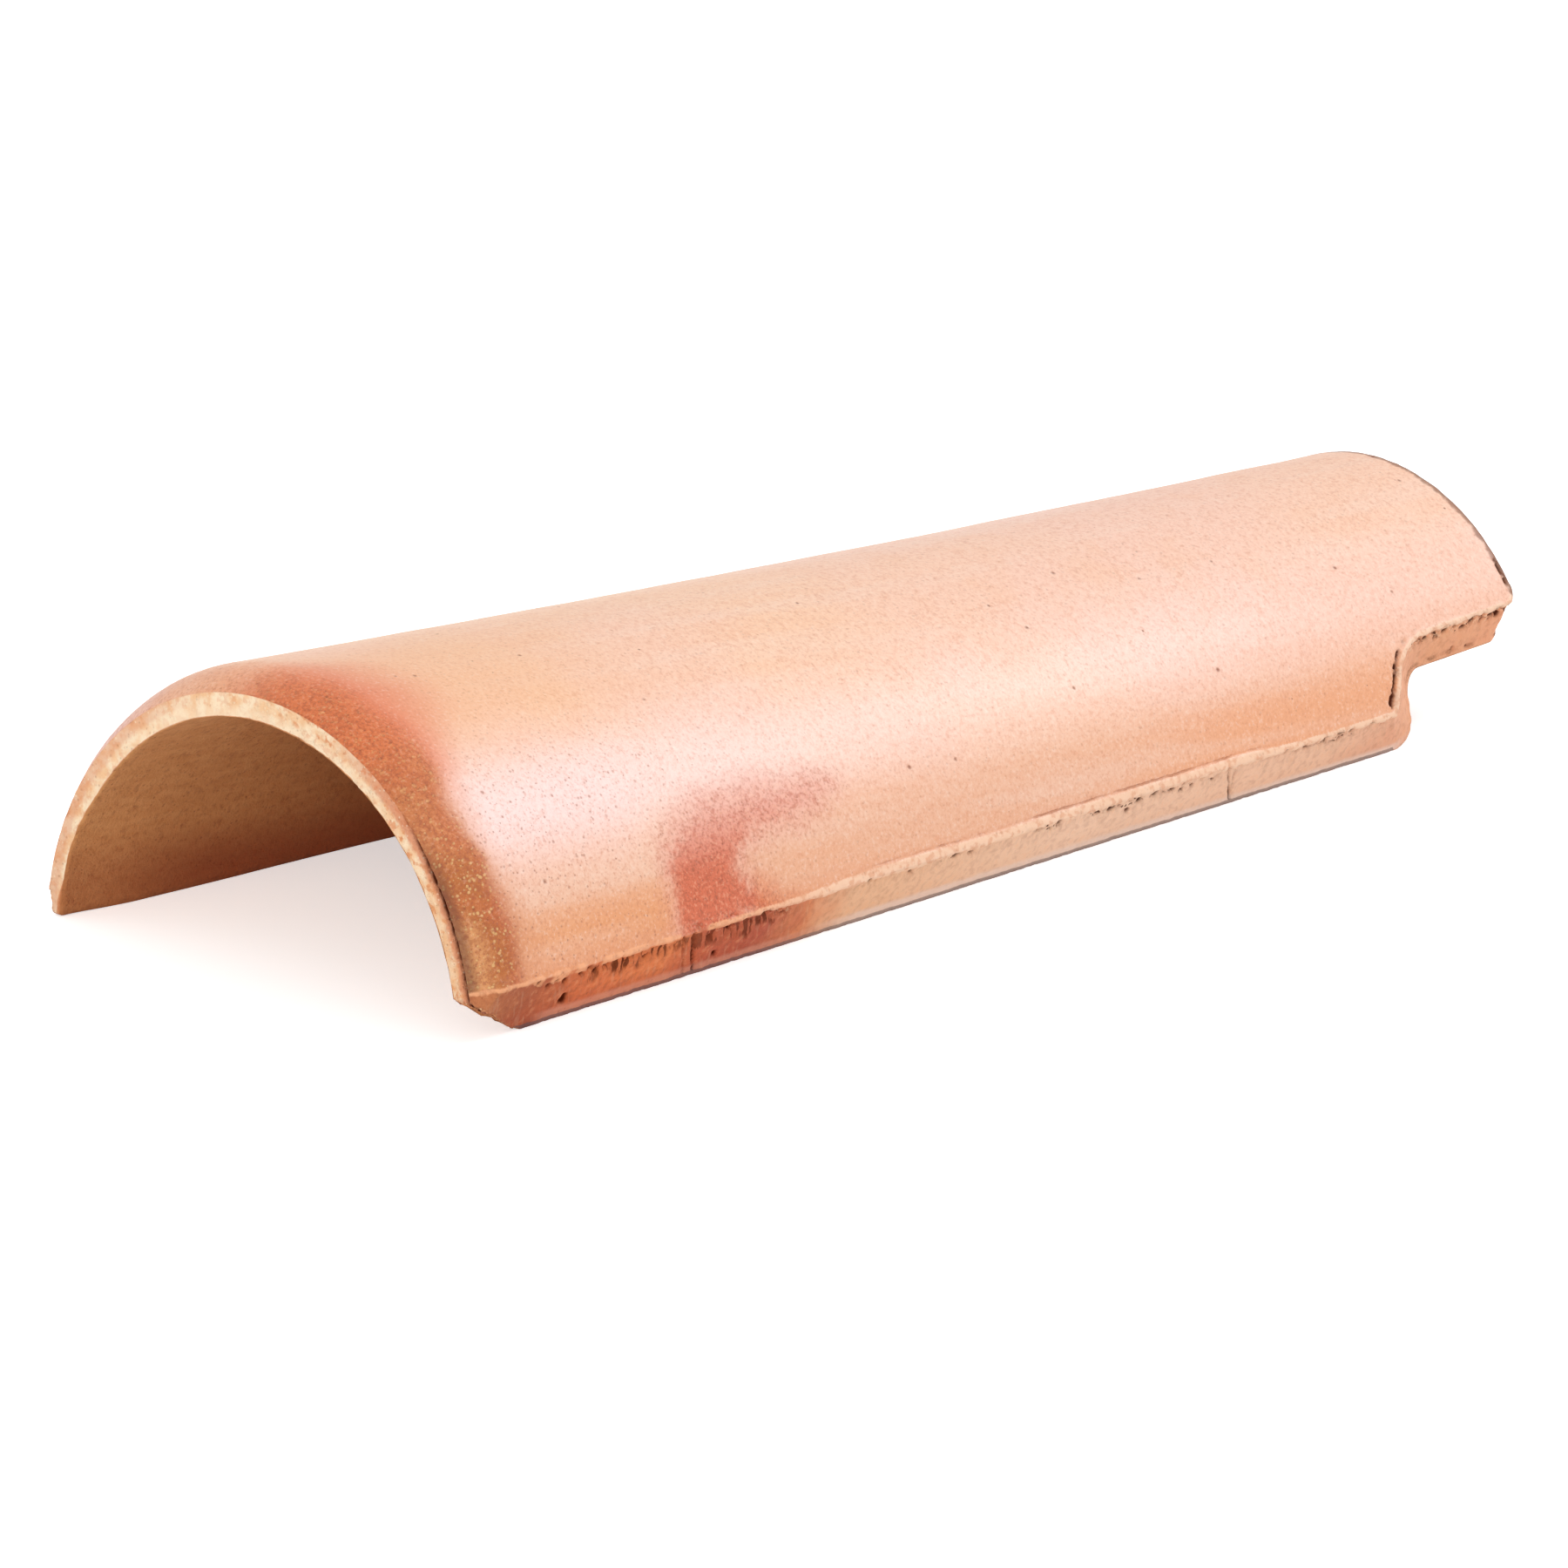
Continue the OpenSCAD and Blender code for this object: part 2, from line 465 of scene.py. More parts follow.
def sheet(loop, points):
    """Triangles over a loop and the points inside it."""
    flat = np.concatenate([loop, points])
    n = len(loop)
    rim = [(i, (i + 1) % n) for i in range(n)]
    corners = [Vector(p) for p in flat.tolist()]
    _, _, faces, origin, _, _ = delaunay_2d_cdt(corners, rim, [], 1, 1e-7)
    first = np.array([o[0] for o in origin])
    return flat, np.array([[first[i] for i in f] for f in faces])


OUTER_RINGS = [(0.7, 0.45, 4.8), (1.6, 4.8, 8.0), (1.6, 8.0, 999), (2.6, 8.0, 999)]
INNER_RINGS = [(1.9, 1.2, 6.0), (3.8, 6.0, 999)]
outer_points = fill(outer_cut[:, :2], OUTER_RINGS, 1.6)
inner_points = fill(inner_cut[:, :2], INNER_RINGS)
outer_flat, outer_faces = sheet(outer_cut[:, :2], outer_points)
inner_flat, inner_faces = sheet(inner_cut[:, :2], inner_points)
print(len(outer_faces), "outer and", len(inner_faces), "inner triangles")

# %% [markdown]
# A strip of quads joins the two faces round the whole edge. Its rows crowd together just under the
# outer face, where the knife left a burr with pits below it. Vertices are kept in one list: outer
# face, inner face, then the strip row by row, and the rim rows are shared, so the slab is closed.

# %% Edge strip
DOWN = np.array([0.025, 0.055, 0.085, 0.115, 0.145, 0.175, 0.205, 0.24, 0.285,
                 0.34, 0.41, 0.50, 0.60, 0.70, 0.80, 0.89, 0.96, 1.0])
rows = [unroll(outer_loop + (corner_loop - outer_loop) * f) for f in DOWN]
rows.append(unroll(corner_loop + (inner_loop - corner_loop) * 0.5))
row_depth = np.append(DOWN, 1.3)
for row, f in zip(rows, row_depth):
    row[:, 2] += scoop(row) * min(f, 1.0)
n = len(outer_loop)
outer_v, inner_v = outer_flat[:, 1], inner_flat[:, 1]
foot_clear, _ = clearance(outer_flat, outer_cut[kind_loop == FOOT, :2])
dying = lip_share(outer_v) * (1 - soft_step(foot_clear, 0.6, 4.5)) * (outer_flat[:, 0] > 0)
slab = np.concatenate(
    [np.column_stack([outer_flat, (skin_radius(outer_v) - cone_radius(outer_v)) * (1 - dying)]),
     np.column_stack([inner_flat, inner_radius(inner_v) - cone_radius(inner_v)
                      + scoop(inner_flat)])] + rows)
slab[:n], slab[len(outer_flat):len(outer_flat) + n] = outer_cut, inner_cut
base = len(outer_flat) + len(inner_flat)
rails = ([np.arange(n)] + [base + r * n + np.arange(n) for r in range(len(rows))]
         + [len(outer_flat) + np.arange(n)])
strip_faces = np.concatenate([np.stack([a, b, np.roll(b, -1), np.roll(a, -1)], 1)
                              for a, b in zip(rails[:-1], rails[1:])])
print(len(slab), "points,", len(strip_faces), "strip quads")

# %% [markdown]
# What the knife and the kiln left is kept as numbers on the points: how much of a burr stands on
# the outer edge, where the edge is torn open, and how far a point is from the flame mark that the
# fire drew on the flank. Random values come from one seeded generator, so each run is the same.

# %% Marks along the edge
rng = np.random.default_rng(41)
steps = np.linalg.norm(np.diff(outer_loop, axis=0, append=outer_loop[:1]), axis=1)
run = np.concatenate([[0], np.cumsum(steps)[:-1]])


def wander(pitch):
    """Smooth random values between 0 and 1 along the outline, changing every pitch millimetres."""
    knots = np.arange(0, run[-1] + 2 * pitch, pitch)
    level = rng.random(len(knots))
    at = run / pitch
    low = at.astype(int)
    t = at - low
    t = t * t * (3 - 2 * t)
    return level[low] * (1 - t) + level[low + 1] * t


def bump_at(values, centre, width):
    return np.exp(-((values - centre) / width) ** 2)


right = side_loop > 0
right_foot = (kind_loop == FOOT) & right
station_v, station_z = outer_loop[:, 1], outer_loop[:, 2]
station_angle = np.degrees(np.arctan2(outer_loop[:, 0], station_z + AXIS_DROP))


def between(rise, level, fall, end):
    """1 along one stretch of the tile's length, fading to 0 at both its ends."""
    return soft_step(station_v, rise, level) * (1 - soft_step(station_v, fall, end))


BURR_SHARE = [0.10, 1.0, 0.75, 0.3]
PIT_SHARE = [0.05, 0.5, 0.7, 0.8]
PITTED = [(105, 14, 0.4), (123, 3, 1.0), (160, 9, 0.35), (192, 5, 0.8), (201, 3, 0.6),
          (234, 6, 1.0), (257, 6, 1.0), (267, 4, 1.0), (275, 6, 1.0), (290, 6, 0.9),
          (305, 6, 0.55), (345, 9, 0.5), (362, 8, 1.0), (379, 5, 0.45)]
lip_growth = 0.60 + 0.40 * soft_step(station_v, 115, 150)
burr_of = (np.choose(kind_loop, BURR_SHARE) * lip_growth
           * np.where(right_foot, soft_step(station_v, 12, 20), 1.0)
           * (0.55 + 0.45 * wander(17)) * (0.45 + 0.55 * wander(2.2))
           * np.where(right_foot & (station_v < 125),
                      np.clip(wander(3.5) * 2.2 - 0.2, 0.25, 1.2), 1.0))
lip_width = 1.0 + (1.0 + 0.5 * wander(30)) * right_foot * between(120, 165, 318, 345)
score_of = right_foot * between(150, 175, 316, 335)
hatch_of = (right_foot * soft_step(station_v, 36, 52) * (1 - 0.9 * soft_step(station_v, 112, 130))
            * (0.6 + 0.4 * wander(7)))
hatch_reach = 0.14 + 0.34 * wander(2.5)
pit_of = np.choose(kind_loop, PIT_SHARE) * np.clip(wander(23) * 2.0 - 0.45, 0, 1)
seen_pits = 0.55 * sum(share * bump_at(station_v, v, reach) for v, reach, share in PITTED)
pit_of = np.where(right_foot, np.clip(seen_pits, 0, 1), pit_of)
print("burr up to", round(float(burr_of.max()), 2), "and", len(PITTED), "clusters of pits")

# %% [markdown]
# Where the knife turned a corner it tore the clay. The notch has an open crack behind the bead on
# its upright, ragged holes under its roof's edge and a crumbled lower edge, and a long crack parts
# the rim of the wide end from the skin on the right leg. Each is a strength for every station.

# %% Torn edges
upright = (kind_loop == NOTCH) & (station_v < 408)
roof = (kind_loop == NOTCH) & (station_v >= 400)
roof_holes = roof * np.clip(0.6 + wander(5) * 0.8, 0, 1) * np.where(right, 1.0, 0.5)
low_tear = (kind_loop == NOTCH) * np.clip(wander(5) * 2.0 - 0.9, 0, 1)
open_tear, frayed_tear = 0.7 + 0.3 * wander(2), np.clip(wander(2) * 1.7 - 0.6, 0, 0.9)
skin_tear = np.where(station_z < 28.5, open_tear, frayed_tear) * upright * np.where(right, 1.0, 0.4)
tab_end = (station_v > 447.5) & (station_z < 43)
skin_tear = np.where(tab_end, np.clip(wander(4) * 1.4 - 0.2, 0, 0.8), skin_tear)
tear_gap = np.where(tab_end, 1.0, 1.7 + 0.5 * wander(3))
tear_width = np.where(tab_end, 0.5, 0.45 + 0.6 * (1 - soft_step(station_z, 22, 29)) * wander(2.5))
leg_share = (kind_loop == NEAR) * 0.24 * soft_step(station_angle, 36, 52)
leg_tear = (kind_loop == NEAR) * soft_step(station_angle, 38, 50) * (0.55 + 0.45 * wander(9))
near_crown = (kind_loop == NEAR) & (station_angle > -38) & (station_angle < 12)
crown_tear = near_crown * np.clip(wander(2) * 2.4 - 1.6, 0, 0.5)
print(int((roof_holes + skin_tear + leg_tear > 0.5).sum()), "torn stations")

# %% [markdown]
# The numbers now go from the stations to the points. On the outer face they fade within a few
# millimetres of the edge, and a fine scored line runs behind the bead on the right foot; on the
# strip they depend on how far down the trimmed face a point lies. Two pairs of cracks in the right
# foot, its deepest pits and those under the tab are put in one by one, by length and share of
# depth.

# %% Marks on the points
MARKS = ("edge", "inner", "near", "sole", "burr", "score", "behind", "hatch", "inset", "pit",
         "deep", "tear", "hook")
TRIM_SHARE = [0.0, 1.0, 1.3, 0.4]
FAR_OFF = 9.0
marks = {name: np.zeros(len(slab)) for name in MARKS}
on_skin = slice(0, len(outer_flat))
gap, nearest = clearance(outer_flat, outer_cut[:, :2])
bead = 1 - soft_step(gap, lip_width[nearest] - 0.4, lip_width[nearest] + 0.3)
marks["burr"][on_skin] = burr_of[nearest] * bead * (1 - 0.5 * soft_step(gap, 0.3, 1.6))
marks["behind"][:] = FAR_OFF
marks["behind"][on_skin] = np.where(right_foot[nearest], gap - lip_width[nearest] - 0.5, FAR_OFF)
marks["score"][on_skin] = score_of[nearest] * bump_at(marks["behind"][on_skin], 0.0, 0.5)
marks["tear"][on_skin] = (skin_tear[nearest] * bump_at(gap, tear_gap[nearest], tear_width[nearest])
                          + crown_tear[nearest] * bump_at(gap, 0.0, 0.8))
rough_foot = between(74, 84, 106, 116) * right_foot
marks["pit"][on_skin] = rough_foot[nearest] * (1 - soft_step(gap, 2.0, 5.0)) * 0.26
marks["near"][on_skin] = (kind_loop[nearest] == NEAR) * (gap < 0.01) * (leg_share[nearest] < 0.02)
marks["inner"][len(outer_flat):base] = 1.0
CRACKS = [(84.5, 7.0, 0.5, 0.9), (80.5, 7.0, 0.4, 0.4), (312.5, 3.0, 0.45, 0.45),
          (316.0, -1.0, 0.4, 0.35)]
DEEP_PITS = [(30, 0.16, 0.7), (37, 0.66, 1.6), (40, 0.18, 0.6), (59, 0.12, 0.7), (67, 0.24, 0.9),
             (93, 0.26, 0.8), (101, 0.18, 0.9), (115, 0.06, 1.3), (120.5, 0.12, 0.8),
             (158, 0.06, 0.8), (176, 0.18, 0.7), (195, 0.12, 1.1), (202, 0.16, 0.8),
             (233, 0.08, 0.9), (239, 0.10, 1.1), (256, 0.14, 0.9), (261.5, 0.20, 0.9),
             (269.5, 0.36, 0.9), (274, 0.18, 1.0), (281, 0.12, 1.5), (288.5, 0.16, 1.1),
             (292.5, 0.26, 0.9), (297, 0.22, 0.7), (306, 0.24, 0.7), (338, 0.08, 0.7),
             (355.5, 0.02, 0.8), (362, 0.06, 1.2), (367, 0.08, 0.9), (376, 0.02, 0.7),
             (393.5, 0.36, 1.0), (409, 0.26, 1.0), (413, 0.18, 0.8), (418, 0.22, 1.2),
             (423, 0.16, 1.0), (427, 0.30, 0.8), (431, 0.20, 1.2), (436, 0.26, 1.0),
             (440, 0.18, 1.2), (444, 0.30, 1.2), (447, 0.16, 1.0), (425, 0.92, 0.8),
             (22, 0.10, 0.9), (27, 0.22, 0.8), (34, 0.24, 0.9), (43, 0.10, 0.8), (46, 0.22, 0.9),
             (50, 0.14, 0.8), (98, 0.70, 0.8)]
lip_row = 0.03 + 0.02 * lip_growth + 0.05 * wander(8) * lip_growth
lip_row = lip_row + (0.03 + 0.13 * wander(4)) * between(16, 24, 44, 56)
lip_row = np.where(kind_loop == NEAR, 0.03, lip_row)
pit_row = lip_row + 0.055 + 0.03 * wander(11)
trimmed = right & ((kind_loop == FOOT) | roof)
for r, f in enumerate(row_depth):
    at = slice(base + r * n, base + (r + 1) * n)
    cut_here = f >= leg_share
    marks["edge"][at] = cut_here
    marks["near"][at] = (kind_loop == NEAR) * cut_here
    marks["burr"][at] = burr_of * (1 - soft_step(f, lip_row - 0.03, lip_row + 0.03))
    marks["inset"][at] = (np.choose(kind_loop, TRIM_SHARE) * np.clip((f - 0.04) / 0.10, 0, 1)
                          * (f < 0.99))
    # The lowest rows of each foot are marked for a painted contact shadow.
    marks["sole"][at] = (f > 0.95) * (kind_loop == FOOT)
    marks["pit"][at] = np.clip(pit_of * 1.4 * bump_at(f, pit_row, 0.08)
                               + roof_holes * bump_at(f, 0.20, 0.15), 0, 1)
    marks["hatch"][at] = (hatch_of * (1 - soft_step(f, hatch_reach, hatch_reach + 0.12))
                          * soft_step(f, 0.05, 0.10))
    marks["tear"][at] = (low_tear * 0.6 * bump_at(f, 0.99, 0.04)
                         + leg_tear * bump_at(f, leg_share, 0.10)
                         + crown_tear * bump_at(f, 0.05, 0.05))
    for v, lean, width, depth in CRACKS:
        crack = right_foot * depth * bump_at(station_v, v + lean * f, width)
        marks["tear"][at] += crack * (f < 0.95)
    for v, down, wide in DEEP_PITS:
        marks["deep"][at] += trimmed * bump_at(station_v, v, wide) * bump_at(f, down, 0.05 * wide)
marks["tear"] = np.clip(marks["tear"], 0, 1)
marks["deep"] = np.clip(marks["deep"] * 1.5, 0, 1)
print("marks:", ", ".join(marks))

# %% [markdown]
# The flame mark is a hook: it rises from the foot, widens, and bends along the flank. It is drawn
# as a path on the blank with a half width at each knot, and every point stores its distance from
# that path less the half width, so the material can soften the border as it likes.

# %% Flame mark
HOOK = [[(79.5, 158, -3.0), (80.5, 151, 2.0), (82.0, 143, 5.0), (83.0, 132, 6.8),
         (84.0, 120, 7.5), (86.0, 109, 9.0), (89, 101, 11.5), (94, 95, 13.5), (99, 92.5, 15.0),
         (106, 92.5, 15.5), (113, 93.5, 16.0), (120, 95, 16.0)],
        [(105, 101, 9.0), (109, 109, 7.0), (111.5, 115, 5.5), (115, 121, 5.0), (120, 128, 5.0)]]


def hook_distance(points):
    best = np.full(len(points), 99.0)
    for path in HOOK:
        for (x0, v0, w0), (x1, v1, w1) in zip(path[:-1], path[1:]):
            a, d = np.array([x0, v0]), np.array([x1 - x0, v1 - v0])
            t = np.clip(((points - a) @ d) / (d @ d), 0, 1)
            reach = np.linalg.norm(points - a - t[:, None] * d, axis=1)
            best = np.minimum(best, reach - (w0 + (w1 - w0) * t))
    return best


marks["hook"] = hook_distance(slab[:, :2])
print(int((marks["hook"] < 0).sum()), "points in the flame mark")

# %% [markdown]
# The blank is one mesh, flat as the slab on the bench: across, along and depth are its three axes.
# Each mark becomes an attribute on its points, and so stays with the clay when the slab is bent.

# %% The flat blank
blank_mesh = bpy.data.meshes.new("clay_blank")
blank_mesh.from_pydata(((slab - [0, LENGTH / 2, 0]) / 1000).tolist(), [],
                       outer_faces.tolist() + (inner_faces[:, ::-1] + len(outer_flat)).tolist()
                       + strip_faces.tolist())
for name, values in marks.items():
    attribute = blank_mesh.attributes.new(name, "FLOAT", "POINT")
    attribute.data.foreach_set("value", values.astype(np.float32))
blank_mesh.update()
tile = put("clay_tile", blank_mesh)
print("blank:", len(blank_mesh.vertices), "points,", len(blank_mesh.polygons), "faces")

# %% [markdown]
# The bending tree is the former. It remembers each point's place on the flat blank, for the
# material, and then turns distance across into an angle and depth into a radius. A curve modifier
# could bend a slab too, but not over a taper, so the sum is written out with named sizes.

# %% Former
def named_inputs(tree, sizes):
    """Gives a tree its geometry sockets and a named input for each size."""
    tree.interface.new_socket("Geometry", in_out="INPUT", socket_type="NodeSocketGeometry")
    tree.interface.new_socket("Geometry", in_out="OUTPUT", socket_type="NodeSocketGeometry")
    for name in sizes:
        tree.interface.new_socket(name, in_out="INPUT", socket_type="NodeSocketFloat")


def store(geometry, name, value, kind="FLOAT"):
    """Keeps a value on the points under a name."""
    return start.node("GeometryNodeStoreNamedAttribute", {"data_type": kind},
                      {"Geometry": geometry, "Name": name, "Value": value})


FORMER = {"Length": LENGTH / 1000, "Wide Radius": WIDE_RADIUS / 1000,
          "Narrow Radius": NARROW_RADIUS / 1000, "Axis Drop": AXIS_DROP / 1000,
          "Kiln Warp": 0.0012, "Skin Ripple": 0.0009, "Cut Roughness": 0.0011,
          "Burr Height": 0.0008, "Score Depth": 0.0004, "Trim Depth": 0.0003, "Pit Depth": 0.0022,
          "Chip Length": 0.022, "Chip Height": 0.0125, "Seed": 5.0}
former = bpy.data.node_groups.new("press_over_former", "GeometryNodeTree")
named_inputs(former, FORMER)
start = Wire(former)
given = start.node("NodeGroupInput", {}, {})
size = {name: given.out(name) for name in FORMER}
place = start.node("GeometryNodeInputPosition", {}, {})
kept = store(given, "flat", place, "FLOAT_VECTOR")
across = place.parts()
along = across.out("Y") / size["Length"]
radius = ((size["Wide Radius"] + size["Narrow Radius"]) * 0.5
          + (size["Narrow Radius"] - size["Wide Radius"]) * along)
angle = across / radius
reach = radius + across.out("Z")
warp = size["Kiln Warp"] * ((along * along) * 5.6 - 0.4) * angle.math("COSINE", angle).most(0.0)
bent = start.node("ShaderNodeCombineXYZ", {},
                  {0: reach * angle.math("SINE", angle), 1: across.out("Y"),
                   2: reach * angle.math("COSINE", angle) - size["Axis Drop"] + warp})
pressed = start.node("GeometryNodeSetPosition", {}, {"Geometry": kept, "Position": bent})
print("former has", len(FORMER), "named sizes")

# %% [markdown]
# Clay is never quite smooth. The skin ripples a little where it was stroked wet, cut faces are
# grainy, the burr stands up along the knife's path, and the torn places and pits sink in. All of
# it moves points along their normals, because at this size a bump map alone would leave the
# outline clean. How far a point sank is stored, so the material can paint shade into it.

# %% Rough clay
WIRE_LEAN = 0.64


def mark(name):
    return start.node("GeometryNodeInputNamedAttribute", {"data_type": "FLOAT"}, {"Name": name},
                      "Attribute")


spot = start.node("GeometryNodeInputPosition", {}, {})
seed = size["Seed"]
edge, lining = mark("edge"), mark("inner")
skin = (1 - edge) * (1 - lining)
ripple = spot.grain(0.048, 1, seed=seed) - 0.5 + (spot.grain(0.006, 2, seed=seed) - 0.5) * 0.16
shoulder_grain = ((along + 0.5).ease(0.03, 0.06, 1, 0)
                  * (spot.grain(0.0024, 2, seed=seed) - 0.5) * 0.35)
rub = spot.stretch(1, 0.12, 1).grain(0.007, 2, seed=seed) - 0.5
cut = (spot.grain(0.0030, 3, seed=seed) - 0.5) * (1 + 0.9 * mark("near"))
crumbled = spot.cells(0.0029) + (spot.grain(0.0017, 2, seed=seed) - 0.5) * 0.6
holes = (mark("pit").ease(0.10, 0.55) * crumbled.ease(0.24, 0.40, 1, 0)).most(
    mark("tear") * spot.grain(0.0022, 2, seed=seed).ease(0.34, 0.50)).most(
    mark("deep") * spot.grain(0.0016, 2, seed=seed).ease(0.30, 0.55, 0.35, 1))
strokes = spot.lean(WIRE_LEAN).stretch(0.3, 1, 0.3).grain(0.0016, 2, seed=seed)
strokes = mark("hatch") * strokes.ease(0.46, 0.62)
lift = (size["Skin Ripple"] * (skin * (ripple + shoulder_grain) + lining * rub * 0.8)
        + size["Cut Roughness"] * edge * cut
        + size["Burr Height"] * mark("burr")
        * spot.grain(0.0030, 3, seed=seed).ease(0.22, 0.72, 0.35, 1)
        - size["Score Depth"] * mark("score") - size["Trim Depth"] * mark("inset")
        - size["Pit Depth"] * (holes + strokes * 0.3))
facing = start.node("GeometryNodeInputNormal", {}, {})
shift = start.node("ShaderNodeVectorMath", {"operation": "SCALE"}, {0: facing, "Scale": lift})
sunk = store(pressed, "hollow", holes)
rough = start.node("GeometryNodeSetPosition", {}, {"Geometry": sunk, "Offset": shift})
print("rough clay: ripple, cut grain, burr, pits and tears")

# %% [markdown]
# One corner of the right foot is broken off at the wide end. Points beyond a sloping plane are
# dropped straight onto it and shaken a little, which leaves the grainy facet of a real break, and
# the other foot has lost a crumb. Last, nothing may lie below the floor that the tile stands on.

# %% Broken corners
spot_parts = spot.parts()
from_end = spot_parts.out("Y") + size["Length"] * 0.5
on_right = spot_parts.math("GREATER_THAN", spot_parts, 0)
share = 0.06 + 0.94 * on_right
tall, long = size["Chip Height"] * share, size["Chip Length"] * share
slope = (tall * tall + long * long) ** 0.5
shake = (spot.grain(0.0060, 3, 0.6, seed) - 0.5) * 0.0045 * share
beyond = ((from_end * tall + spot_parts.out("Z") * long - tall * long) / slope + shake).least(0)
mended = start.node("ShaderNodeCombineXYZ", {},
                    {0: spot_parts, 1: spot_parts.out("Y") - beyond * tall / slope,
                     2: (spot_parts.out("Z") - beyond * long / slope).most(0)})
broken = store(rough, "broken", (-beyond).ease(0, 0.0004))
chipped = start.node("GeometryNodeSetPosition", {}, {"Geometry": broken, "Position": mended})
print("corners broken")

# %% [markdown]
# The tree ends by making everything real and giving it the clay. Its inputs are set by their
# identifiers, the bent tile is taken as a plain mesh, and the modifier goes. A closed skin has no
# open edges, and its volume in cubic centimetres should be close to that of the plain solid.

# %% Press the tile
fired_clay = bpy.data.materials.new("fired_clay_skin")
smooth = start.node("GeometryNodeSetShadeSmooth", {}, {"Geometry": chipped})
real = start.node("GeometryNodeRealizeInstances", {}, {"Geometry": smooth})
clad = start.node("GeometryNodeSetMaterial", {}, {"Geometry": real, "Material": fired_clay})
start.node("NodeGroupOutput", {}, {0: clad})
press = tile.modifiers.new("press", "NODES")
press.node_group = former
for item in former.interface.items_tree:
    if item.in_out == "INPUT" and item.name in FORMER:
        press[item.identifier] = FORMER[item.name]
bent_tile = tile.evaluated_get(bpy.context.evaluated_depsgraph_get())
pressed_mesh = bpy.data.meshes.new_from_object(bent_tile)
pressed_mesh.name = "clay_tile"
tile.modifiers.clear()
tile.data = pressed_mesh
check = bmesh.new()
check.from_mesh(pressed_mesh)
open_edges = sum(not e.is_manifold for e in check.edges)
triangles = sum(len(f.verts) - 2 for f in check.faces)
print("tile:", triangles, "triangles,", open_edges, "open edges,",
      round(check.calc_volume(signed=True) * 1e6, 1), "cm3")
check.free()

# %% [markdown]
# Fired clay is a matt body with a thin smooth skin, where the wet hand closed the surface. Its
# colour is never even: peach on the crown, orange low on the flanks, brown and speckled at the
# wide end where the fire reached it, and pale grain where the knife cut. The material works on the
# flat blank's coordinates, which follow the clay round the vault, and on object coordinates for
# grain.

# %% Clay coordinates
s = bare_tree(fired_clay)
body_coord = s.node("ShaderNodeTexCoord", {}, {}, "Object")


def stored(name, out="Fac"):
    return s.node("ShaderNodeAttribute", {"attribute_name": name}, {}, out)


flat_coord = stored("flat", "Vector")
flat_parts = flat_coord.parts()
across_mm = flat_parts * 1000
off_crown = abs(across_mm)
length_mm = flat_parts.out("Y") * 1000 + LENGTH / 2
turn_deg = across_mm / (WIDE_RADIUS - length_mm * FALL) * math.degrees(1)
lean_deg = abs(turn_deg)
print("clay coordinates ready")

# %% [markdown]
# The outer skin comes first. Broad clouds drift between peach and a pinker tone, long faint
# streaks follow the stroke of the hand, and the colour deepens to orange toward the feet. A pale
# pink painted highlight lies along the middle of the flank near the wide end, and near the narrow
# end that part of the flank is painted darker, as painted shade that dims the lamp's sheen. Over
# all of it lies a fine mottle, because the clay holds sand of many shades.

# %% Skin colour
cloud = body_coord.grain(0.085, 2)
patch = body_coord.grain(0.014, 3)
streak = flat_coord.stretch(1, 0.08, 1).grain(0.011, 2)
mottle = body_coord.grain(0.0019, 4, 0.72)
low = lean_deg.ease(44, 72)
# Painted highlight: a pale pink sheen painted along the middle of the flank, strongest near the
# wide end.
painted_sheen = lean_deg.span(24, 46, 48, 64) * length_mm.ease(190, 40, 0.22, 0.72)
# Painted shade: near the narrow end the flank under the lamp's sheen is painted darker, to dim it.
painted_sheen_dimming = length_mm.ease(290, 390) * lean_deg.span(32, 42, 54, 64)
crown = length_mm.ease(90, 330).blend((251, 201, 163), (252, 205, 177)).coat(
    (cloud.ease(0.40, 0.64) * 0.45, (250, 203, 186)),
    (patch.ease(0.48, 0.70) * 0.30, (246, 190, 154)))
low_colour = length_mm.ease(230, 330).blend((237, 178, 143), (239, 168, 124)).coat(
    (length_mm.ease(78, 118, 1, 0) * lean_deg.ease(60, 72), (234, 158, 106)),
    (lean_deg.ease(71, 77) * length_mm.ease(250, 90, 0.3, 0.8), (228, 146, 96)))
skin_colour = low.blend(crown, low_colour).coat(
    (streak.ease(0.46, 0.70) * 0.28, (250, 216, 196)),
    (streak.ease(0.46, 0.28) * low * length_mm.ease(90, 150, 0.05, 0.30), (238, 160, 110)),
    (painted_sheen * cloud.ease(0.25, 0.6, 0.75, 1), (249, 213, 209)),
    (painted_sheen_dimming * 0.55, (246, 190, 162)),
    (mottle.ease(0.46, 0.70) * (0.42 - painted_sheen * 0.20), (224, 150, 112)),
    (mottle.ease(0.46, 0.26) * 0.30, (254, 226, 208)))
print("skin colour: clouds, streaks and mottle")

# %% [markdown]
# At the wide end the fire licked over the rim. How far it reached, how softly it fades and how
# strong it is change round the vault, so one colour ramp across the tile carries all three in its
# red, green and blue. A salmon flush runs out beyond the browned clay on the right of the crown.
# The hook on the flank is the same flush, drawn from the stored distance, pink where it is thin
# and red at heart.

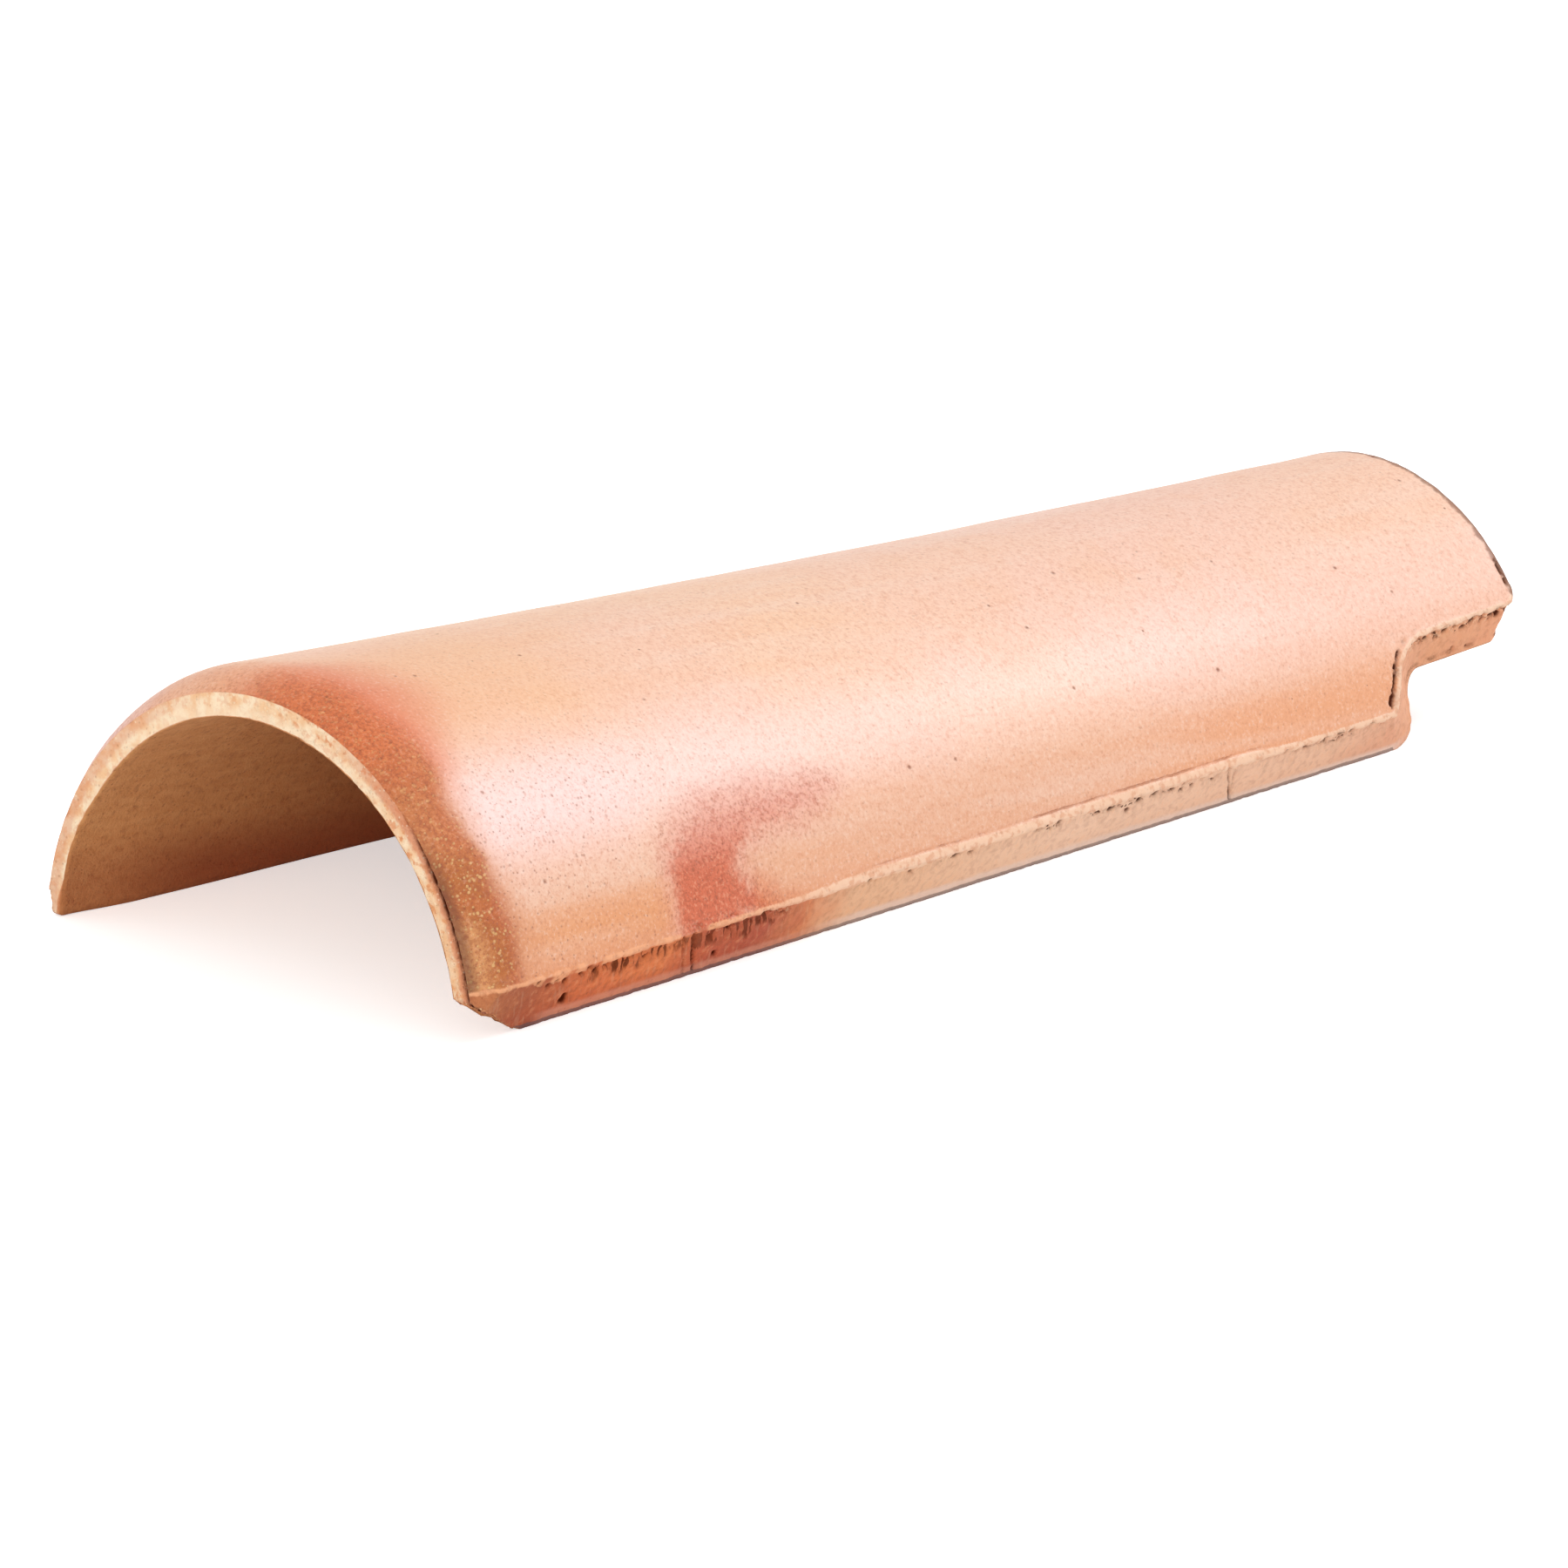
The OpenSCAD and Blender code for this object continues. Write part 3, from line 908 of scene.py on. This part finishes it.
# %% Fire marks
LICK = [(-115, 12, 6, 0.35), (-60, 9, 8, 0.22), (-31, 8, 12, 0.22), (-12, 9, 12, 0.38),
        (4, 11, 34, 0.88), (21, 14, 40, 1), (34, 15, 33, 1), (46, 16, 19, 1), (55, 15.5, 15, 1),
        (65, 11.5, 14, 0.95), (76, 11, 11, 0.95), (84, 14, 10, 1), (94, 15.5, 11, 1),
        (104, 15.5, 13, 1), (115, 16, 13, 1)]
LICK_HALF, LICK_REACH = 120, 40
stops = [((mm + LICK_HALF) / (2 * LICK_HALF),
          (border / LICK_REACH, tail / LICK_REACH, strength, 1))
         for mm, border, tail, strength in LICK]
lick = s.node("ShaderNodeValToRGB", {"stops": stops},
              {0: (across_mm + LICK_HALF) / (2 * LICK_HALF)}, "Color")
lick = s.node("ShaderNodeSeparateColor", {}, {0: lick})
border, tail, strength = lick * LICK_REACH, lick.out("Green") * LICK_REACH, lick.out("Blue")
licked = length_mm + (body_coord.grain(0.012, 3) - 0.5) * 8
melt = across_mm.ease(34, 60, 8, 4)
browned = strength * (1 - licked.ease(border - melt, border + melt * 0.8))
flush = strength * (1 - licked.ease(border * 0.7, border + tail))
seared = off_crown.ease(78, 92) * licked.ease(border - 6, border - 2)
glow = (length_mm.ease(30, 140, 1, 0) * (1 - lean_deg.ease(18, 44))
        * turn_deg.ease(-14, 6, 0.25, 1))
crumb = body_coord.cells(0.0013) + (body_coord.grain(0.004, 2) - 0.5) * 1.1
crumb = crumb.ease(0.14, 0.36, 1, 0)
hook = (stored("hook") + (body_coord.grain(0.012, 3) - 0.5) * 8
        + (body_coord.grain(0.0022, 2) - 0.5) * 7)
burnt = 1 - hook.ease(-8, 8)
heart = burnt.ease(0.60, 1) * lean_deg.ease(54, 67)
branch = length_mm.ease(108, 115) * lean_deg.ease(67, 71)
brown = across_mm.ease(38, 60).blend((219, 116, 64), (204, 120, 66)).coat(
    (across_mm.ease(72, 90), (188, 106, 46)),
    (across_mm.ease(94, 104) * licked.ease(8, 3) * 0.7, (230, 164, 106)),
    (across_mm.ease(-4, -36), (232, 160, 104)),
    (seared * 0.6, (184, 88, 44)),
    (patch.ease(0.46, 0.66) * 0.45, (206, 104, 58)),
    (mottle.ease(0.46, 0.66) * 0.50, (164, 84, 42)),
    (mottle.ease(0.46, 0.28) * 0.45, (238, 170, 110)))
hook_colour = heart.blend((236, 166, 144), (216, 106, 70)).coat(
    (branch, (222, 122, 74)),
    (mottle.ease(0.46, 0.62) * 0.55, (190, 84, 50)))
flush_colour = across_mm.ease(48, 72).blend((230, 124, 82), (222, 148, 104))
skin_colour = skin_colour.coat(
    (glow * 0.75, (246, 186, 142)),
    (flush * 0.95, flush_colour),
    (browned * 0.95, brown),
    (crumb * browned * across_mm.ease(50, 85, 0.20, 0.60), (242, 196, 130)),
    (burnt * 0.95, hook_colour))
print("fire marks: wide end, flush and hook")

# %% [markdown]
# Cut faces show the body of the clay. The foot's trimmed bevel runs from dark red brown near the
# wide end, through the flame mark, to pale sand farther along, so a colour ramp along the length
# paints it. The rim of the wide end is paler and crumbly, with rusty flakes right of the crown and
# a red strip along its outer edge on the right leg, which the depth in the slab places. The hidden
# foot keeps to the plain middle of the ramp.

# %% Cut faces
band_place = (length_mm + (body_coord.grain(0.009, 2) - 0.5) * 22) / LENGTH
band_place = band_place + across_mm.ease(10, -10) * (0.30 - band_place * 0.30)
BAND = [(0, (196, 120, 76)), (0.045, (178, 92, 56)), (0.1, (226, 120, 68)),
        (0.17, (234, 134, 78)), (0.205, (202, 98, 63)), (0.26, (190, 92, 65)),
        (0.3, (226, 142, 96)), (0.34, (242, 191, 151)), (0.55, (250, 208, 178)),
        (0.8, (248, 200, 168)), (0.87, (238, 176, 142)), (0.93, (242, 174, 132)),
        (1, (244, 170, 130))]
band_colour = s.node("ShaderNodeValToRGB", {"stops": [(at, clay(*tone)) for at, tone in BAND]},
                     {0: band_place}, "Color")
cut_depth = flat_parts.out("Z") * -1000
face_depth = (cut_depth - SHOULDER_DROP) / RIM
scratch = flat_coord.lean(WIRE_LEAN).stretch(0.2, 1, 0.2).grain(0.0016, 2)
drag = flat_coord.stretch(1, 0.06, 1).grain(0.0020, 2)
cut_grain = body_coord.grain(0.0022, 3)
sand = body_coord.cells(0.0019).ease(0.10, 0.24, 1, 0)
foot_only = length_mm.span(135, 165, 392, 402)
near_foot = length_mm.span(24, 34, 130, 150)
rusty = across_mm.ease(-4, 26, 0.35, 0.85)
red_strip = (face_depth + (cut_grain - 0.5) * 0.5).ease(0.34, 0.62, 1, 0) * off_crown.ease(20, 62)
band_colour = band_colour.coat(
    (cut_grain.ease(0.46, 0.68) * length_mm.ease(110, 150, 0.40, 0.20), (156, 80, 48)),
    (cut_grain.ease(0.46, 0.30) * length_mm.ease(110, 150, 0.25, 0.20), (250, 180, 128)),
    (cut_depth.ease(6, 9) * length_mm.ease(130, 110) * 0.30, (186, 84, 54)),
    (cut_depth.ease(7.8, 9) * foot_only * 0.80, (250, 222, 206)),
    (cut_depth.ease(8.2, 9.2) * near_foot * 0.60, (232, 164, 136)),
    (scratch.ease(0.54, 0.74) * 0.15, (244, 202, 164)))
rim_colour = body_coord.grain(0.005, 3).ease(0.36, 0.62).blend((247, 200, 154), (255, 230, 196))
rim_colour = rim_colour.coat(
    (cut_grain.ease(0.50, 0.66) * rusty, (226, 144, 92)),
    (face_depth.ease(0.35, 0.75) * off_crown.ease(70, 40) * 0.55, (255, 228, 194)),
    (across_mm.ease(70, 110) * 0.4, (236, 172, 120)),
    (red_strip * across_mm.ease(-20, 30, 0.45, 0.85), (220, 138, 98)),
    (sand * 0.45, (255, 234, 202)))
cut_colour = stored("near").blend(band_colour, rim_colour)
print("cut faces: trimmed feet and crumbly rim")

# %% [markdown]
# The hollow side lay on the sanded former. It is a duller, browner clay with fine drag lines. It
# is painted darker toward the middle of its length, as painted shade deep under the vault, and
# it is painted darker and redder low along both feet.

# %% Hollow side
drawn = flat_coord.stretch(1, 0.35, 1).grain(0.0032, 3)
# Painted shade: the hollow side darkens toward the middle of its length, deep under the vault.
painted_vault_shade = length_mm.span(55, 150, 340, 440)
# Darker and redder low along both feet, a little less so at the wide end.
low_reddening = off_crown.ease(102, 128) * length_mm.ease(5, 60, 0.45, 0.85)
lining_colour = drawn.ease(0.30, 0.72).blend((216, 148, 90), (226, 160, 102)).coat(
    (body_coord.grain(0.0024, 4, 0.65).ease(0.48, 0.70) * 0.50, (176, 108, 60)),
    (painted_vault_shade * 0.75, (172, 90, 46)),
    (low_reddening, (158, 74, 38)))
print("hollow side coloured")

# %% [markdown]
# Everything is laid together by the marks on the points: skin, then cut faces, the pale bead, the
# painted shade of the scored groove, the painted contact shadow along the foot's lower edge, the
# grain of the break, the hollow side and the pits, which are the darkest, with painted shade in
# them. Iron specks are scattered cells of random size, painted here and sunk a little by the bump.

# %% Specks and layers
ragged = (body_coord.grain(0.0009, 1) - 0.5) * 0.06


def specks(pitch, largest, seed):
    """Scattered round spots; each cell draws its own size, and most stay bare."""
    cell = body_coord.vector("ADD", (seed, seed * 0.7, seed * 0.3)).cells(pitch)
    draw = s.node("ShaderNodeSeparateColor", {}, {0: cell.out("Color")})
    return (cell + ragged).ease(0, draw ** 2 * largest + 0.001, 1, 0)


corner = turn_deg.ease(76.5, 77.1) * length_mm.ease(18, 15)
edge_part, lining_part, near_part = stored("edge").most(corner), stored("inner"), stored("near")
pit_part, hatch_part, broken_part = stored("pit"), stored("hatch"), stored("broken")
peppered = length_mm.ease(150, 40) * lean_deg.ease(26, 44)
peppered = peppered.most(burnt * 0.8).most(browned * 0.7)
pepper = specks(0.0014, 0.50, 0.37) * (0.26 + 0.34 * peppered)
iron = (specks(0.0085, 0.13, 0.11) + pepper).least(1)
iron = iron * (1 - edge_part * length_mm.ease(90, 150, 0.2, 0.8))
sand_grain = body_coord.grain(0.0010, 2, 0.6)
fired = burnt.most(browned)
sooty = (burnt * lean_deg.ease(54, 66, 0.22, 0.42)).most(browned * 0.40)
# Painted shadow: on the right leg the skin is painted dark for the first few millimetres behind the
# crack that parts it from the rim.
painted_rim_shadow = across_mm.ease(66, 92) * length_mm.ease(3.2, 0.4) * (1 - near_part)
skin_colour = skin_colour.coat(
    (sand_grain.ease(0.52, 0.72) * (0.26 + 0.16 * peppered), (196, 118, 84)),
    (sand_grain.ease(0.46, 0.28) * (0.24 - 0.16 * fired), (255, 232, 216)),
    (sand_grain.ease(0.50, 0.68) * sooty, (150, 66, 34)),
    (sand_grain.ease(0.46, 0.30) * (burnt * 0.32).most(browned * 0.14), (248, 176, 132)),
    (painted_rim_shadow * 0.65, (112, 62, 32)))
lip_colour = length_mm.ease(90, 150).blend((248, 176, 128), (248, 206, 174)).coat(
    (cut_grain.ease(0.48, 0.64) * 0.55, (220, 148, 106)))
lip_line = abs(turn_deg - 76.7 + (cut_grain - 0.5) * 0.9).ease(0.15, 0.60, 1, 0)
lip_line = lip_line * length_mm.ease(26, 17)
lip_shown = (stored("burr").ease(0.04, 0.28) * 0.85).most(lip_line * 0.85) * (1 - near_part)
# Painted shade: a dark line painted along the scored groove behind the bead, which the bump also
# sinks.
scored_groove_and_shade = abs(stored("behind") + (cut_grain - 0.5) * 0.9).ease(0.10, 0.42, 1, 0)
scored_groove_and_shade = scored_groove_and_shade * length_mm.span(150, 175, 312, 335) * patch.ease(0.40, 0.58)
# Painted contact shadow: greyish dark along the foot's lower edge, darker near the wide end.
contact_shadow_colour = length_mm.ease(115, 145).blend((108, 84, 84), (146, 122, 114))
break_colour = cut_grain.ease(0.40, 0.60).blend((158, 86, 52), (222, 150, 100)).coat(
    (sand * 0.7, (250, 212, 164)))
far_edge = (length_mm + (cut_grain - 0.5) * 3).ease(LENGTH - 2.2, LENGTH - 0.6)
frayed = body_coord.grain(0.0011, 3, 0.6)
colour = skin_colour.coat(
    (edge_part * (1 - lining_part), cut_colour),
    (lip_shown, lip_colour),
    (scored_groove_and_shade * 0.50, (178, 102, 68)),
    (stored("sole").ease(0.35, 0.75) * 0.75, contact_shadow_colour),
    (broken_part, break_colour),
    (lining_part, lining_colour),
    (far_edge * (1 - lining_part) * 0.8, (138, 84, 56)),
    (iron * 0.80, (146, 70, 34)),
    (pit_part * frayed.ease(0.47, 0.38) * 0.5, (252, 220, 184)),
    (hatch_part * 0.35, (182, 94, 50)))
pin_holes = (body_coord.cells(0.0017) + (frayed - 0.5) * 0.6).ease(0.18, 0.32, 1, 0)
open_grain = pit_part.ease(0.15, 0.60) * pin_holes
open_grain = open_grain.most(stored("tear") * frayed.ease(0.38, 0.50))
open_grain = open_grain.most(hatch_part * scratch.ease(0.47, 0.55))
# Painted shade: sunk hollows, pin holes, tears and scratches are painted dark, with a little of the
# iron specks' own colour.
hole_shade_and_specks = stored("hollow").ease(0.12, 0.60).most(open_grain * 0.85).most(iron * 0.12)
print("layers: skin, cut, bead, break, hollow side, specks, pits")

# %% [markdown]
# The skin was closed by a wet hand, so it has a soft sheen, while cut and sanded clay is matt.
# Fine grain goes through one Bump node, because it is far smaller than the faces of the mesh. Open
# pores, tears and sunk hollows take a second, dull, dark shader as painted shade in the holes,
# because a sheen over a dark hole would make it look grey; the iron specks take a little of it.

# %% Finish the clay
fine = body_coord.grain(0.0012, 3, 0.6)
dull = (browned * 0.9 + burnt * 0.15 + length_mm.ease(300, 420) * 0.35).least(1)
skin_rough = 0.39 + (cloud - 0.5) * 0.10 + (fine - 0.5) * 0.16 + dull * 0.20
matt = (edge_part + lining_part + broken_part).least(1)
roughness = skin_rough + (0.88 - skin_rough) * matt
height = ((fine - 0.5) * (0.22 + 0.45 * matt + 0.40 * browned)
          - iron * 0.45 * (1 - matt * 0.5) - open_grain * 0.8 - scored_groove_and_shade * 0.5
          + (scratch - 0.5) * edge_part * 0.35 + (drag - 0.5) * edge_part * 0.3
          + (drawn - 0.5) * lining_part * 0.6 + crumb * browned * 0.30)
relief = s.node("ShaderNodeBump", {}, {"Strength": 0.75, "Distance": 0.0007, "Height": height})
shader = s.node("ShaderNodeBsdfPrincipled", {},
                {"Base Color": colour, "Roughness": roughness, "Normal": relief, "IOR": 1.48})
# Painted shade in the holes: a dull dark brown shader without sheen.
pore_shade_and_speck = s.node("ShaderNodeBsdfPrincipled", {},
              {"Base Color": clay(74, 22, 5), "Roughness": 1, "Specular IOR Level": 0})
whole = s.node("ShaderNodeMixShader", {}, {0: hole_shade_and_specks * 0.95, 1: shader, 2: pore_shade_and_speck})
s.node("ShaderNodeOutputMaterial", {}, {"Surface": whole})
print("clay material has", len(s.tree.nodes), "nodes")

# %% [markdown]
# The light is a plain bright studio: a white world so that colours come out as they are written, a
# broad lamp from behind the far end, low enough that the flank's skin returns it to the camera as
# a long soft sheen, a softer one from the front for the rim and the hollow side, and a faint one
# above.

# %% Light
LAMPS = (("sheen_lamp", 1.05, 25, (0.84, 0.92, 1.0), (0.31, 0.69, 0.64)),
         ("front_lamp", 0.88, 50, (1.0, 0.98, 0.95), (0.32, -0.90, 0.27)),
         ("top_lamp", 0.20, 60, (1.0, 1.0, 1.0), (-0.20, 0.05, 0.97)))
SKY = 0.70
world = bpy.data.worlds.new("white_studio")
scene.world = world
world.use_nodes = True
sky = world.node_tree.nodes["Background"].inputs
sky["Color"].default_value, sky["Strength"].default_value = (1, 1, 1, 1), SKY
for name, energy, spread, tint, toward in LAMPS:
    lamp_data = bpy.data.lights.new(name, "SUN")
    lamp_data.energy = energy
    lamp_data.color = tint
    lamp_data.angle = math.radians(spread)
    lamp = put(name, lamp_data)
    lamp.rotation_mode = "QUATERNION"
    lamp.rotation_quaternion = Vector(toward).to_track_quat("Z", "Y")
scene.view_settings.view_transform = "Standard"
print("light: a white world and", len(LAMPS), "soft lamps")

# %% [markdown]
# The floor is white paper. For the camera, and in reflections, a little light of its own lifts it
# to white, so that no extra light has to fall on the tile, and the tile's own soft shadow stays on
# it.

# %% Floor
HALF = 6.0
floor_mesh = bpy.data.meshes.new("floor")
sheet_corners = [(-HALF, -HALF, 0), (HALF, -HALF, 0), (HALF, HALF, 0), (-HALF, HALF, 0)]
floor_mesh.from_pydata(sheet_corners, [], [(0, 1, 2, 3)])
floor = put("floor", floor_mesh)
paper = bpy.data.materials.new("white_paper")
p = bare_tree(paper)
ray = p.node("ShaderNodeLightPath", {}, {}, "Is Camera Ray")
seen = ray.most(ray.out("Is Glossy Ray")).most(ray.out("Is Transmission Ray"))
matt_paper = p.node("ShaderNodeBsdfDiffuse", {}, {"Color": (0.9, 0.9, 0.9, 1)})
lit_paper = p.node("ShaderNodeEmission", {}, {"Color": (1, 1, 1, 1), "Strength": 0.53})
lit = p.node("ShaderNodeAddShader", {}, {0: matt_paper, 1: lit_paper})
paper_skin = p.node("ShaderNodeMixShader", {}, {0: seen, 1: matt_paper, 2: lit})
p.node("ShaderNodeOutputMaterial", {}, {"Surface": paper_skin})
floor_mesh.materials.append(paper)
print("floor", 2 * HALF, "m across")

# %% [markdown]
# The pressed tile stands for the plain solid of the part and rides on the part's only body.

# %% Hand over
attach(tile, "root")
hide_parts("tile")
